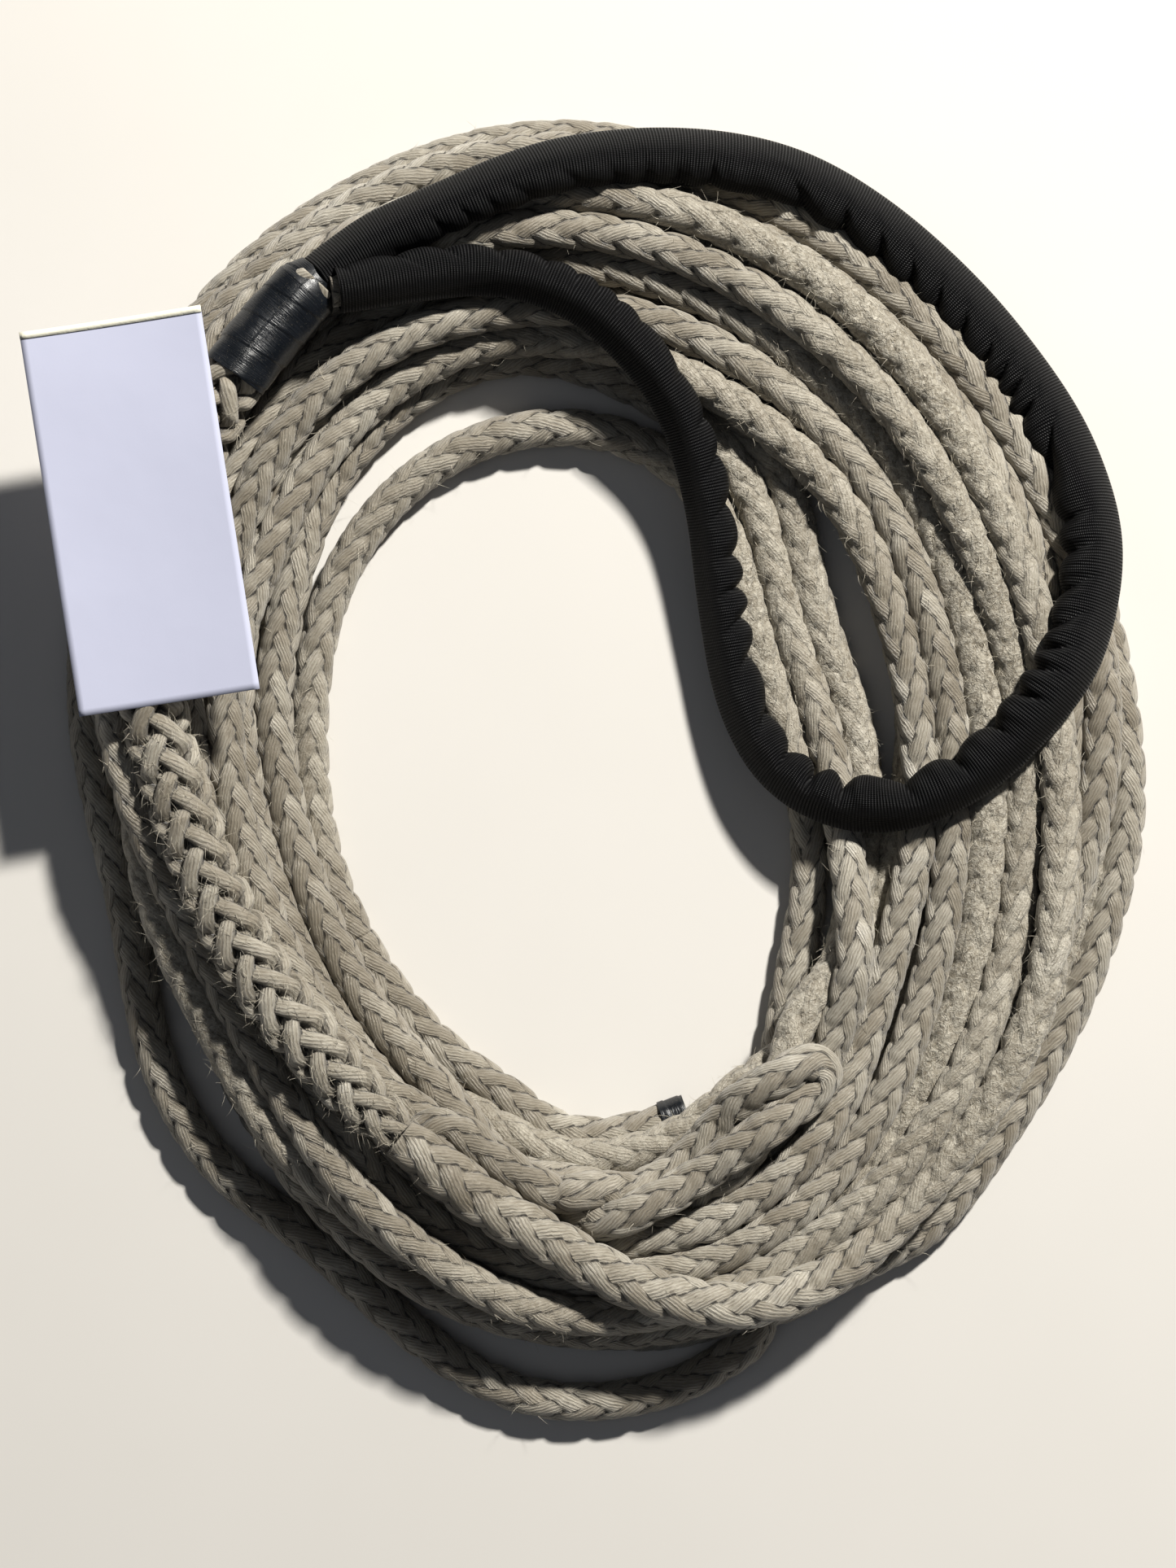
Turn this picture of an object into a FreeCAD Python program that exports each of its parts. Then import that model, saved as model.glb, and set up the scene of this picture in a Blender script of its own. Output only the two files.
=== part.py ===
"""Coiled dock line: 30 m of 20 mm twelve-strand rope, wound as a flat hank, with one spliced eye.

Frame: millimetres, +Z up, +Y along the hank's longer way, origin under the middle of the
whole object's box, on the surface that the hank lies on.
Places on the hank are given as (bearing, distance): the bearing in degrees clockwise from +Y
when seen from above, the distance in millimetres from HANK_MIDDLE.
"""
import FreeCAD
import Part
import math
import os

from FreeCAD import Vector

# Driving dimensions
ROPE_DIAMETER = 20.0
HANK_HEIGHT = 48.0          # mean height of the wound turns, two to three rope layers
HANK_EDGE_ROUND = 9.0       # rounding of the hank's upper rims
HANK_MIDDLE = (-6.0, -3.5)
SPLICE_DIAMETER = 35.0      # the rope with its own strands tucked back into it
TAPER_DIAMETER = 27.0       # last tucks of the splice, thinned out
THROAT_TAPE_WALL = 0.5
THROAT_TAPE_LENGTH = 68.0
SLEEVE_BORE = 22.4
SLEEVE_WALL = 1.6
END_TAPE_WALL = 0.8
END_TAPE_LENGTH = 15.0
CARD_WIDTH = 99.0
CARD_LENGTH = 210.0
CARD_THICKNESS = 0.4
CARD_MIDDLE = (-237.2, 145.0)
CARD_TURN = 8.8             # degrees anticlockwise from +Y
CLEARANCE = 0.4             # between pieces that move apart
NEARBY = 120.0              # size of a block that trims only what is beside a fold
EVERYWHERE = 2000.0         # size of a block that trims the whole object

# Where the eye folds up from the hank, and where the rope's end folds up
EYE_HINGE = (-131.5, 260.5, 0.0)
EYE_REACH = (0.948, -0.318)         # unit direction from the fold to the eye's far end
TAIL_HINGE_BEARING = 215.0
TAIL_HINGE_DISTANCE = 157.5
TAIL_REACH = (0.885, -0.466)

# Outline of the wound turns, outside and inside: (bearing, distance)
HANK_OUTSIDE = [
    (0, 369), (18, 373), (34, 367), (50, 353), (64, 337), (78, 314), (95, 310), (110, 307),
    (124, 308), (140, 331), (156, 347), (170, 349), (181, 322), (195, 302), (210, 275),
    (225, 255), (240, 249), (255, 251), (270, 260), (286, 277), (300, 309), (315, 331),
    (330, 347), (345, 366),
]
HANK_INSIDE = [
    (0, 249), (15, 246), (28, 218), (38, 178), (50, 148), (66, 132), (84, 130), (103, 136),
    (120, 151), (137, 175), (153, 213), (167, 233), (181, 229), (194, 203), (210, 179),
    (228, 161), (248, 156), (268, 156), (286, 162), (301, 180), (315, 208), (330, 240),
    (345, 249),
]
# The see-through gap between the turns on the right
SIDE_GAP = [(41, 211), (51, 185), (66, 183), (84, 190), (74, 205), (57, 206)]

# Stretches of the rope that stand free of the wound turns: (bearing, distance)
INNER_TURN = [
    (TAIL_HINGE_BEARING, TAIL_HINGE_DISTANCE), (233, 147), (253, 143.5), (272, 144), (290, 153),
    (308, 171), (326, 189), (344, 203), (2, 207), (19, 199), (33, 175), (45, 155),
]
OUTER_TURN = [
    (163, 338), (173, 351), (184, 350), (196, 320), (208, 293), (222, 288), (236, 276),
    (248, 261), (258, 248),
]
TAIL = [
    (TAIL_HINGE_BEARING, TAIL_HINGE_DISTANCE), (205, 166), (195, 180), (186, 199), (176.5, 208),
    (167.5, 209), (159.5, 207),
]

# The eye splice, from the throat of the eye to where it sinks into the hank: (x, y)
THROAT = (-147.7, 270.4)
SPLICE = [
    THROAT, (-195.0, 216.4), (-219.0, 168.0), (-235.0, 112.0), (-237.0, 52.0), (-224.0, -8.0),
    (-198.0, -72.0), (-166.0, -122.0), (-124.0, -172.0), (-74.0, -212.0), (-22.0, -248.0),
]
TAPER = [(-22.0, -248.0), (19.6, -276.8), (64.0, -291.0), (110.0, -291.0)]

# The eye, from the throat round to the throat, resting on the hank: (x, y, lift off the hank as a
# share of the sleeve radius)
EYE = [
    (-131.0, 290.0, 0), (-92.0, 306.0, 0), (-36.0, 330.0, 0), (16.0, 345.0, 0),
    (64.0, 347.0, 0), (133.0, 331.0, 0), (200.0, 280.0, 0), (258.0, 214.0, 0),
    (287.0, 150.0, 0), (282.0, 86.0, 0), (252.0, 32.0, 0), (205.0, -10.0, 0),
    (152.0, -22.0, 0), (110.0, -2.0, 0), (88.0, 42.0, 0), (80.0, 100.0, 0),
    (66.0, 192.0, 0), (26.0, 252.0, 0), (-36.0, 284.0, 0.3125),
    (-92.0, 279.0, 1.0156), (-139.0, 260.0, 1.25),
]

rope_radius = ROPE_DIAMETER / 2
splice_radius = SPLICE_DIAMETER / 2
tape_radius = splice_radius + THROAT_TAPE_WALL
sleeve_radius = SLEEVE_BORE / 2 + SLEEVE_WALL
splice_level = HANK_HEIGHT + tape_radius
taper_level = HANK_HEIGHT + TAPER_DIAMETER / 2
eye_level = HANK_HEIGHT + CLEARANCE + sleeve_radius
card_level = splice_level + tape_radius + CLEARANCE


def on_hank(bearing, distance, z=0.0):
    """Point at a bearing and a distance from the middle of the hank."""
    angle = math.radians(bearing)
    x = HANK_MIDDLE[0] + distance * math.sin(angle)
    y = HANK_MIDDLE[1] + distance * math.cos(angle)
    return Vector(x, y, z)


tail_hinge = on_hank(TAIL_HINGE_BEARING, TAIL_HINGE_DISTANCE)


def bend(before, corner, after):
    """Largest fair arc round a corner: its start, middle and end, and its radius."""
    back = before - corner
    ahead = after - corner
    run = min(back.Length, ahead.Length)
    back.normalize()
    ahead.normalize()
    half_turn = (math.pi - back.getAngle(ahead)) / 2
    tangent = 0.45 * run
    radius = tangent / math.tan(half_turn)
    inward = (back + ahead).normalize()
    middle = corner + inward * (radius / math.cos(half_turn) - radius)
    return corner + back * tangent, middle, corner + ahead * tangent, radius


def fair_wire(points, closed, name):
    """Straight runs joined by tangent arcs through a list of points."""
    count = len(points)
    corners = range(count) if closed else range(1, count - 1)
    bends = [bend(points[i - 1], points[i], points[(i + 1) % count]) for i in corners]
    edges = []
    reached = bends[-1][2] if closed else points[0]
    for start, middle, end, radius in bends:
        edges.append(Part.LineSegment(reached, start).toShape())
        edges.append(Part.Arc(start, middle, end).toShape())
        reached = end
    if not closed:
        edges.append(Part.LineSegment(reached, points[-1]).toShape())
    radii = [round(b[3]) for b in bends]
    print(name, "bend radii", min(radii), "to", max(radii), "mm")
    return Part.Wire(edges)


def tube(points, radius, name):
    """Round solid tube along a fair wire."""
    path = fair_wire(points, False, name)
    ring = Part.Wire(Part.makeCircle(radius, points[0], points[1] - points[0]))
    solid = path.makePipeShell([ring], True, True)
    share = solid.Volume / (math.pi * radius ** 2 * path.Length)
    print(name, "length", round(path.Length), "mm, volume over section times length", round(share, 4))
    return solid


def prism(outline, height, name):
    """Upright solid with a fair outline given as (bearing, distance)."""
    points = [on_hank(bearing, distance) for bearing, distance in outline]
    face = Part.Face(fair_wire(points, True, name))
    return face.extrude(Vector(0, 0, height))


def block_ahead(point, reach, setback, size):
    """Block on the far side of an upright plane, which stands at the setback from a point."""
    block = Part.makeBox(size, size, 2 * size, Vector(setback, -size / 2, -size))
    turn = math.degrees(math.atan2(reach[1], reach[0]))
    block.rotate(Vector(0, 0, 0), Vector(0, 0, 1), turn)
    block.translate(Vector(point[0], point[1], 0))
    return block


def largest(shape):
    """The one solid that matters when a cut leaves crumbs."""
    return max(shape.Solids, key=lambda solid: solid.Volume)


def wound_turns():
    """Closed outer shape of the wound turns: a flat ring, open in the middle."""
    ring = prism(HANK_OUTSIDE, HANK_HEIGHT, "hank outside")
    ring = ring.cut(prism(HANK_INSIDE, HANK_HEIGHT, "hank inside"))
    top_edges = [e for e in ring.Edges if e.BoundBox.ZMin > HANK_HEIGHT - 0.01]
    ring = ring.makeFillet(HANK_EDGE_ROUND, top_edges)
    return ring.cut(prism(SIDE_GAP, HANK_HEIGHT, "side gap"))


def free_turn(route, hank, name):
    """A turn that stands free of the hank on the surface, up to where it goes in."""
    points = [on_hank(bearing, distance, rope_radius) for bearing, distance in route]
    return largest(tube(points, rope_radius, name).cut(hank))


def splice_parts():
    """The splice with the two legs of its crotch, and its thinned end."""
    body = tube([Vector(x, y, splice_level) for x, y in SPLICE], splice_radius, "eye_splice")
    crotch = Vector(THROAT[0], THROAT[1], splice_level)
    for leg in (EYE[0], EYE[-1]):
        end = Vector(leg[0], leg[1], eye_level + leg[2] * sleeve_radius)
        along = end - crotch
        body = body.fuse(Part.makeCylinder(rope_radius, along.Length + rope_radius, crotch, along))
    body = body.cut(block_ahead(EYE_HINGE, EYE_REACH, -CLEARANCE, NEARBY))
    taper = tube([Vector(x, y, taper_level) for x, y in TAPER], TAPER_DIAMETER / 2, "splice_taper")
    return largest(body), taper


def throat_tape(splice):
    """Tape wound round the splice just behind the crotch of the eye."""
    wound = tube([Vector(x, y, splice_level) for x, y in SPLICE[:4]], tape_radius, "throat_tape")
    back = Vector(SPLICE[1][0] - THROAT[0], SPLICE[1][1] - THROAT[1], 0).normalize()
    beyond = block_ahead(THROAT, (back.x, back.y), THROAT_TAPE_LENGTH, EVERYWHERE)
    eye_side = block_ahead(EYE_HINGE, EYE_REACH, -CLEARANCE, NEARBY)
    return wound.cut(beyond).cut(eye_side).cut(splice)


def eye_parts():
    """The rope of the eye and the chafe sleeve round it, both ending at the fold."""
    points = [Vector(x, y, eye_level + lift * sleeve_radius) for x, y, lift in EYE]
    ahead = block_ahead(EYE_HINGE, EYE_REACH, 0.0, EVERYWHERE)
    rope = largest(tube(points, rope_radius, "eye_rope").common(ahead))
    sleeve = tube(points, sleeve_radius, "chafe_sleeve").common(ahead)
    bore = tube(points, SLEEVE_BORE / 2, "sleeve bore")
    return rope, largest(sleeve.cut(bore))


def tail_parts():
    """The rope's loose end and the tape round its tip."""
    points = [on_hank(bearing, distance, rope_radius) for bearing, distance in TAIL]
    rope = tube(points, rope_radius, "tail_rope")
    rope = largest(rope.common(block_ahead(tail_hinge, TAIL_REACH, 0.0, EVERYWHERE)))
    back = points[-2] - points[-1]
    outer = Part.makeCylinder(rope_radius + END_TAPE_WALL, END_TAPE_LENGTH, points[-1], back)
    tape = outer.cut(Part.makeCylinder(rope_radius, END_TAPE_LENGTH, points[-1], back))
    for piece in (rope, tape):
        piece.translate(Vector(0, 0, END_TAPE_WALL))
    return rope, tape


def label_card():
    """Blank paper card that lies on the splice."""
    card = Part.makeBox(CARD_WIDTH, CARD_LENGTH, CARD_THICKNESS)
    card.translate(Vector(-CARD_WIDTH / 2, -CARD_LENGTH / 2, card_level))
    card.rotate(Vector(0, 0, 0), Vector(0, 0, 1), CARD_TURN)
    card.translate(Vector(CARD_MIDDLE[0], CARD_MIDDLE[1], 0))
    return card


def main():
    hank = wound_turns()
    splice, taper = splice_parts()
    eye_rope, sleeve = eye_parts()
    tail, end_tape = tail_parts()
    tail_room = block_ahead(tail_hinge, TAIL_REACH, -CLEARANCE, NEARBY)
    nodes = {
        "coil_turns": hank,
        "inner_turn": largest(free_turn(INNER_TURN, hank, "inner_turn").cut(tail_room)),
        "outer_turn": free_turn(OUTER_TURN, hank, "outer_turn"),
        "eye_splice": splice,
        "splice_taper": taper,
        "throat_tape": throat_tape(splice),
        "eye_rope": eye_rope,
        "chafe_sleeve": sleeve,
        "tail_rope": tail,
        "end_tape": end_tape,
        "label_card": label_card(),
    }
    os.makedirs("parts", exist_ok=True)
    whole = FreeCAD.BoundBox()
    for name, shape in nodes.items():
        shape.exportStep("parts/" + name + ".step")
        whole.add(shape.BoundBox)
        print(name, "valid", shape.isValid(), "solids", len(shape.Solids), "volume", round(shape.Volume))
    print("box", [round(v, 2) for v in (whole.XMin, whole.YMin, whole.ZMin, whole.XMax, whole.YMax, whole.ZMax)])


main()
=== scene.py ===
"""Looks of the coiled dock line: 30 m of twelve-strand rope, its spliced eye in a webbing sleeve,
two windings of tape and a blank paper card."""
import math

import bpy
import numpy as np
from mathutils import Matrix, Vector


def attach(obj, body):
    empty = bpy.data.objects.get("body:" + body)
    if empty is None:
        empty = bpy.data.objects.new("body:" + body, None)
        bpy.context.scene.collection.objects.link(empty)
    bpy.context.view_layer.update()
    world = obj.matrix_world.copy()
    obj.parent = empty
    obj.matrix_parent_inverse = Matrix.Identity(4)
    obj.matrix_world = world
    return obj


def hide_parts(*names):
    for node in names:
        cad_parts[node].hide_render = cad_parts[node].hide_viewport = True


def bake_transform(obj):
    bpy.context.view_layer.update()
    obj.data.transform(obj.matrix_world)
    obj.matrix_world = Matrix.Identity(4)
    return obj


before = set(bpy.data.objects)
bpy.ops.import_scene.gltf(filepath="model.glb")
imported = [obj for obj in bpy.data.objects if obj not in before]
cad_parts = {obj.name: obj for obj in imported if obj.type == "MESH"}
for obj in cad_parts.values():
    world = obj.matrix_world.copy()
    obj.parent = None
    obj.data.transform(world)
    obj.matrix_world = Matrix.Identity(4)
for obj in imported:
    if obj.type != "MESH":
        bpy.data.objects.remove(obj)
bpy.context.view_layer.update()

# Sizes, in metres
ROPE = 0.020                # rope diameter
SPLICE = 0.035              # diameter over the tucked strands
FLAT = 1.2                  # how much wider than high soft rope lies
SLEEVE_DEPTH = 0.0245       # height of the sleeve on the rope
WEBBING = 0.0012            # thickness of the webbing
MIDDLE = (-0.0095, -0.0035)     # middle of the wound turns
PICTURE_HEIGHT = 0.867          # height of the picture where the rope lies
CAMERA_HEIGHT = 1.60
ROPE_LEVEL = 0.045              # height at which the picture height is measured
BRAID_REPEAT = 0.0235           # the braid's surface repeats after this length
BRAID_RINGS = 12
BRAID_SIDES = 36
SPLICE_REPEAT = 0.0215
SPLICE_RINGS = 22
SPLICE_SIDES = 108
LIE_WIDE = 1.06                 # soft rope lies a little wide
LIE_LOW = 0.90                  # and a little low

CARD = (0.099, 0.210, 0.0004)   # width, height and thickness
CARD_MIDDLE = (-0.2372, 0.145)
CARD_TURN = 8.8                 # degrees anticlockwise from +Y
CARD_MARGIN = 0.006             # no loose fibres stand this near the card
TAPE_MARGIN = 0.024             # nor this near the middle of the taped splice
FIBRES = 14000                  # loose fibres over the whole rope

# The eye and the loose end fold up from the hank. This is the loose end's hinge and the way it reaches;
# the tail piece is cut off 45 mm behind the hinge
TAIL_HINGE = (-0.0963, -0.1325, 0.010)
TAIL_REACH = (0.885, -0.466, 0.0)

# The rope's course as (bearing in degrees clockwise from +Y, distance from MIDDLE).
TAIL = [(159.5, 0.207), (167.5, 0.209), (176.5, 0.208), (186, 0.199), (195, 0.180), (205, 0.166)]
INNER_TURN = [
    (215, 0.1575), (233, 0.147), (253, 0.1435), (272, 0.144), (290, 0.153), (308, 0.171),
    (326, 0.189), (344, 0.203), (362, 0.207), (379, 0.199), (393, 0.175), (405, 0.155),
    (420, 0.143), (440, 0.138), (460, 0.144), (480, 0.163), (495, 0.181),
]
OUTER_TURN = [
    (523, 0.338), (533, 0.351), (544, 0.350), (556, 0.320), (568, 0.293), (582, 0.288),
    (596, 0.276), (608, 0.261), (618, 0.248),
]
AFTER_OUTER = [(635, 0.258), (660, 0.292), (690, 0.333), (720, 0.362), (750, 0.342), (780, 0.310),
               (810, 0.302), (840, 0.296)]
# The other turns, bottom one first: distances in millimetres at 150, 180, ... 480 degrees
TURNS = [
    [312, 302, 254, 218, 230, 286, 328, 352, 337, 310, 297, 288],
    [318, 304, 256, 218, 232, 288, 328, 356, 337, 317, 297, 290],
    [297, 292, 250, 214, 228, 279, 317, 342, 324, 304, 290, 281],
    [285, 284, 242, 216, 226, 265, 310, 333, 310, 288, 272, 262],
    [274, 277, 238, 212, 216, 262, 306, 328, 306, 280, 258, 248],
    [252, 263, 228, 206, 207, 248, 294, 314, 288, 262, 240, 230],
    [238, 247, 212, 196, 196, 229, 277, 300, 270, 244, 229, 220],
    [225, 236, 203, 188, 190, 220, 264, 284, 256, 232, 214, 205],
    [211, 228, 193, 175, 180, 202, 254, 271, 238, 172, 172, 190],
    [200, 240, 188, 166, 174, 186, 250, 264, 216, 162, 158, 188],
    [236, 238, 205, 185, 190, 211, 247, 260, 234, 220, 208, 211],
    [258, 258, 222, 198, 200, 225, 265, 275, 259, 235, 224, 239],
    [277, 270, 232, 206, 211, 243, 286, 300, 276, 253, 238, 259],
    [295, 288, 262, 222, 230, 261, 306, 317, 295, 272, 261, 279],
    [296, 300, 252, 218, 234, 283, 323, 338, 318, 290, 283, 298],
]
FOLD_ROW = 9        # this turn starts with a run back to a tight fold at the lower right: (x, y)
FOLD = [
    (0.1015, -0.196), (0.062, -0.236), (0.010, -0.255), (-0.040, -0.250), (-0.076, -0.232),
    (-0.094, -0.210), (-0.088, -0.192), (-0.070, -0.192), (-0.045, -0.212), (-0.010, -0.230),
    (0.025, -0.231), (0.052, -0.219), (0.068, -0.203), (0.084, -0.184), (0.100, -0.1705),
    (0.115, -0.161), (0.128, -0.154), (0.1365, -0.158), (0.136, -0.167), (0.126, -0.1755),
    (0.111, -0.186), (0.094, -0.199), (0.074, -0.213), (0.050, -0.228),
]
# See-through gaps between the turns: middle x, y, half length, half width, bearing
GAPS = [
    (0.151, 0.101, 0.066, 0.0110, 163), (0.137, -0.109, 0.032, 0.0065, 191),
    (-0.2150, -0.166, 0.058, 0.0100, 156), (0.011, -0.325, 0.035, 0.0050, 95),
]
# The splice, from where it rises out of the hank up to the throat: (x, y)
TAPER = [(0.110, -0.291), (0.064, -0.291), (0.0196, -0.2768), (-0.022, -0.248)]
SPLICE_RUN = [
    (-0.074, -0.212), (-0.124, -0.172), (-0.166, -0.122), (-0.198, -0.072), (-0.224, -0.008),
    (-0.237, 0.052), (-0.235, 0.112), (-0.219, 0.168), (-0.195, 0.2164), (-0.1477, 0.2704),
]
EYE = [
    (-0.131, 0.290), (-0.092, 0.306), (-0.036, 0.330), (0.016, 0.345), (0.064, 0.347),
    (0.133, 0.331), (0.200, 0.280), (0.258, 0.214), (0.287, 0.150), (0.282, 0.086),
    (0.252, 0.032), (0.205, -0.010), (0.152, -0.022), (0.110, -0.002), (0.088, 0.042),
    (0.080, 0.100), (0.066, 0.192), (0.026, 0.252), (-0.036, 0.284), (-0.092, 0.279),
    (-0.139, 0.260), (-0.160, 0.248),
]


# ---- where the rope lies ----------------------------------------------------------------

def place(bearing, distance):
    """Plan position of a point on the hank."""
    angle = math.radians(bearing)
    return (MIDDLE[0] + distance * math.sin(angle), MIDDLE[1] + distance * math.cos(angle))


def through(points, step):
    """Even steps along a smooth line through points (centripetal Catmull-Rom)."""
    p = np.array(points, float)
    p = np.vstack([2 * p[0] - p[1], p, 2 * p[-1] - p[-2]])
    out = []
    marks = []
    for i in range(1, len(p) - 2):
        a, b, c, d = p[i - 1], p[i], p[i + 1], p[i + 2]
        t1 = np.linalg.norm((b - a)[:2]) ** 0.5
        t2 = t1 + np.linalg.norm((c - b)[:2]) ** 0.5
        t3 = t2 + np.linalg.norm((d - c)[:2]) ** 0.5
        t = np.linspace(t1, t2, 40, endpoint=False)[:, None]
        a1 = (t1 - t) / t1 * a + t / t1 * b
        a2 = (t2 - t) / (t2 - t1) * b + (t - t1) / (t2 - t1) * c
        a3 = (t3 - t) / (t3 - t2) * c + (t - t2) / (t3 - t2) * d
        b1 = (t2 - t) / t2 * a1 + t / t2 * a2
        b2 = (t3 - t) / (t3 - t1) * a2 + (t - t1) / (t3 - t1) * a3
        out.append((t2 - t) / (t2 - t1) * b1 + (t - t1) / (t2 - t1) * b2)
        marks.append(i - 1 + np.linspace(0, 1, 40, endpoint=False))
    out = np.vstack(out + [p[-2:-1]])
    marks = np.concatenate(marks + [[len(p) - 3]])
    run = np.concatenate([[0], np.cumsum(np.linalg.norm(np.diff(out[:, :2], axis=0), axis=1))])
    count = int(round(run[-1] / step)) + 1
    even = np.linspace(0, run[-1], count)
    line = np.stack([np.interp(even, run, out[:, k]) for k in range(out.shape[1])], 1)
    return line, np.interp(even, run, marks)


def close_pairs(p, reach, skip):
    """Index pairs of points nearer than reach, and not neighbours along the rope."""
    q = p.astype(np.float32)
    squares = (q * q).sum(1)
    found = []
    for start in range(0, len(q), 1500):
        block = slice(start, start + 1500)
        gap = squares[block, None] + squares[None, :] - 2 * q[block] @ q.T
        a, b = np.nonzero(gap < reach * reach)
        a = a + start
        keep = b - a > skip
        found.append(np.stack([a[keep], b[keep]], 1))
    return np.concatenate(found)


def open_gaps(p, radius, share):
    """Pushes the line sideways out of the see-through gaps."""
    for x, y, half_length, half_width, bearing in GAPS:
        angle = math.radians(bearing)
        away = p[:, :2] - (x, y)
        along = away @ (math.sin(angle), math.cos(angle))
        across = away @ (math.cos(angle), -math.sin(angle))
        room = 1 - (along / half_length) ** 2 * half_width / (half_width + radius)
        reach = (half_width + radius) * room
        push = 0.5 * share * np.clip(reach - np.abs(across), 0, 0.004) * np.sign(across)
        p[:, 0] += push * math.cos(angle)
        p[:, 1] -= push * math.sin(angle)


def settle(p, radius, hold, soften, rounds):
    """Lets the line fall, lie on itself and keep its length, near where it is laid out.
    Heights are stretched meanwhile, so that round contact gives rope that lies flattened."""
    laid = p[:, :2].copy()
    p[:, 2] *= FLAT
    count = len(p)
    rest = np.linalg.norm(np.diff(laid, axis=0), axis=1)
    for turn in range(rounds):
        if turn % 8 == 0:
            pairs = close_pairs(p, 2 * radius.max() + 0.006, 5)
            i, j = pairs[:, 0], pairs[:, 1]
            need = radius[i] + radius[j]
        share = turn / rounds
        p[:, 2] -= 0.0008 * (1 - 0.85 * share)
        p[:, :2] += hold[:, None] * (laid - p[:, :2])
        for reach, weight in ((1, 0.15), (3, 0.12)):
            middle = 0.5 * (p[:-2 * reach] + p[2 * reach:]) - p[reach:-reach]
            p[reach:-reach] += weight * soften[reach:-reach, None] * middle
        for odd in (0, 1):
            a = np.arange(odd, count - 1, 2)
            d = p[a + 1] - p[a]
            size = np.linalg.norm(d, axis=1)
            shift = (0.3 * (size - rest[a]) / size)[:, None] * d
            p[a] += shift
            p[a + 1] -= shift
        for _ in range(2):
            d = p[j] - p[i]
            size = np.linalg.norm(d, axis=1) + 1e-9
            hit = size < need
            a, b = i[hit], j[hit]
            push = (0.5 * (need[hit] - size[hit]) / size[hit])[:, None] * d[hit]
            times = np.bincount(a, minlength=count) + np.bincount(b, minlength=count)
            move = np.stack([np.bincount(b, push[:, k], minlength=count)
                             - np.bincount(a, push[:, k], minlength=count) for k in range(3)], 1)
            p += 1.4 * move / np.maximum(times, 1)[:, None]
        open_gaps(p, radius, soften)
        p[:, 2] = np.maximum(p[:, 2], radius)
    p[:, 2] /= FLAT
    return p


def lay_out():
    """The whole rope as one line of points, with the index where each stretch starts."""
    names = []
    points = []
    levels = []

    def add(name, list_of_places, low, high):
        names.extend([name] * len(list_of_places))
        points.extend(list_of_places)
        levels.extend(np.linspace(low, high, len(list_of_places)))

    add("tail", [place(*q) for q in TAIL], 0.010, 0.010)
    add("inner", [place(*q) for q in INNER_TURN], 0.010, 0.010)
    add("outer", [place(*q) for q in OUTER_TURN], 0.011, 0.012)
    add("turns", [place(*q) for q in AFTER_OUTER], 0.013, 0.015)
    level = 0.016
    for number, row in enumerate(TURNS):
        places = [place(150 + 30 * k, mm / 1000) for k, mm in enumerate(row)]
        if number == FOLD_ROW:
            add("fold", FOLD, level + 0.004, level + 0.012)
            places = places[1:]
        add("turns", places, level, level + 0.0033)
        level += 0.0036
    add("taper", TAPER, level + 0.002, level + 0.012)
    add("splice", SPLICE_RUN, level + 0.014, level + 0.016)
    add("eye", EYE, level + 0.018, level + 0.024)
    line, mark = through([(x, y, z) for (x, y), z in zip(points, levels)], 0.010)
    stretch = np.array(names)[np.minimum(mark.astype(int), len(names) - 1)]
    return line, stretch, mark, names


def settled_rope():
    """Lays the whole rope out and lets it settle. Gives its points, their marks in the list of
    given places, which of them steer the splines, and the marks of the splice and eye."""
    line, stretch, mark, names = lay_out()
    taper, splice, eye = (names.index(name) for name in ("taper", "splice", "eye"))
    swell = [taper - 0.5, splice - 0.5, splice + 1]
    radius = np.interp(mark, swell, [ROPE / 2, 0.0145, SPLICE / 2])
    radius[mark > eye - 0.6] = SLEEVE_DEPTH / 2
    radius[-6:] = ROPE / 4
    hold = np.where(stretch == "turns", 0.05, 0.12)
    hold[stretch == "fold"] = 0.25
    soften = np.where(stretch == "fold", 0.1, 1.0)
    line = settle(line, radius, hold, soften, 420)
    joined = np.linspace(0, 1, 9)[:, None] ** 2         # the eye's end goes into the splice
    throat = line[np.argmin(np.abs(mark - (eye - 1.15)))] + (0, 0, 0.004)
    line[-9:] += joined * (throat - line[-1])
    control = (np.arange(len(line)) % 3 == 0) | (stretch == "fold")
    return line, mark, control, splice, eye


def spline_points(name, controls, resolution):
    """Points along a NURBS spline with these control points, read from the bare curve."""
    curve = bpy.data.curves.new(name, "CURVE")
    curve.dimensions = "3D"
    curve.resolution_u = resolution
    spline = curve.splines.new("NURBS")
    spline.points.add(len(controls) - 1)
    for point, control in zip(spline.points, controls):
        point.co = (*control, 1.0)
    spline.order_u = 3
    spline.use_endpoint_u = True
    holder = bpy.data.objects.new(name, curve)
    mesh = bpy.data.meshes.new_from_object(holder)
    points = np.empty(3 * len(mesh.vertices))
    mesh.vertices.foreach_get("co", points)
    bpy.data.objects.remove(holder)
    bpy.data.curves.remove(curve)
    bpy.data.meshes.remove(mesh)
    return points.reshape(-1, 3)


def even(points, step):
    """The same line at even steps."""
    run = np.concatenate([[0], np.cumsum(np.linalg.norm(np.diff(points, axis=0), axis=1))])
    at = np.arange(0, run[-1], step)
    return np.stack([np.interp(at, run, points[:, k]) for k in range(3)], 1)


def frames(points):
    """Tangents and two untwisted normals along a line."""
    tangent = np.gradient(points, axis=0)
    tangent /= np.linalg.norm(tangent, axis=1)[:, None]
    normal = np.empty_like(tangent)
    up = np.array([0.0, 0.0, 1.0])
    n = up - tangent[0] * tangent[0].dot(up)
    for k, t in enumerate(tangent):
        n = n - t * t.dot(n)
        n = n / math.sqrt(n.dot(n))
        normal[k] = n
    return tangent, normal, np.cross(tangent, normal)


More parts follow.
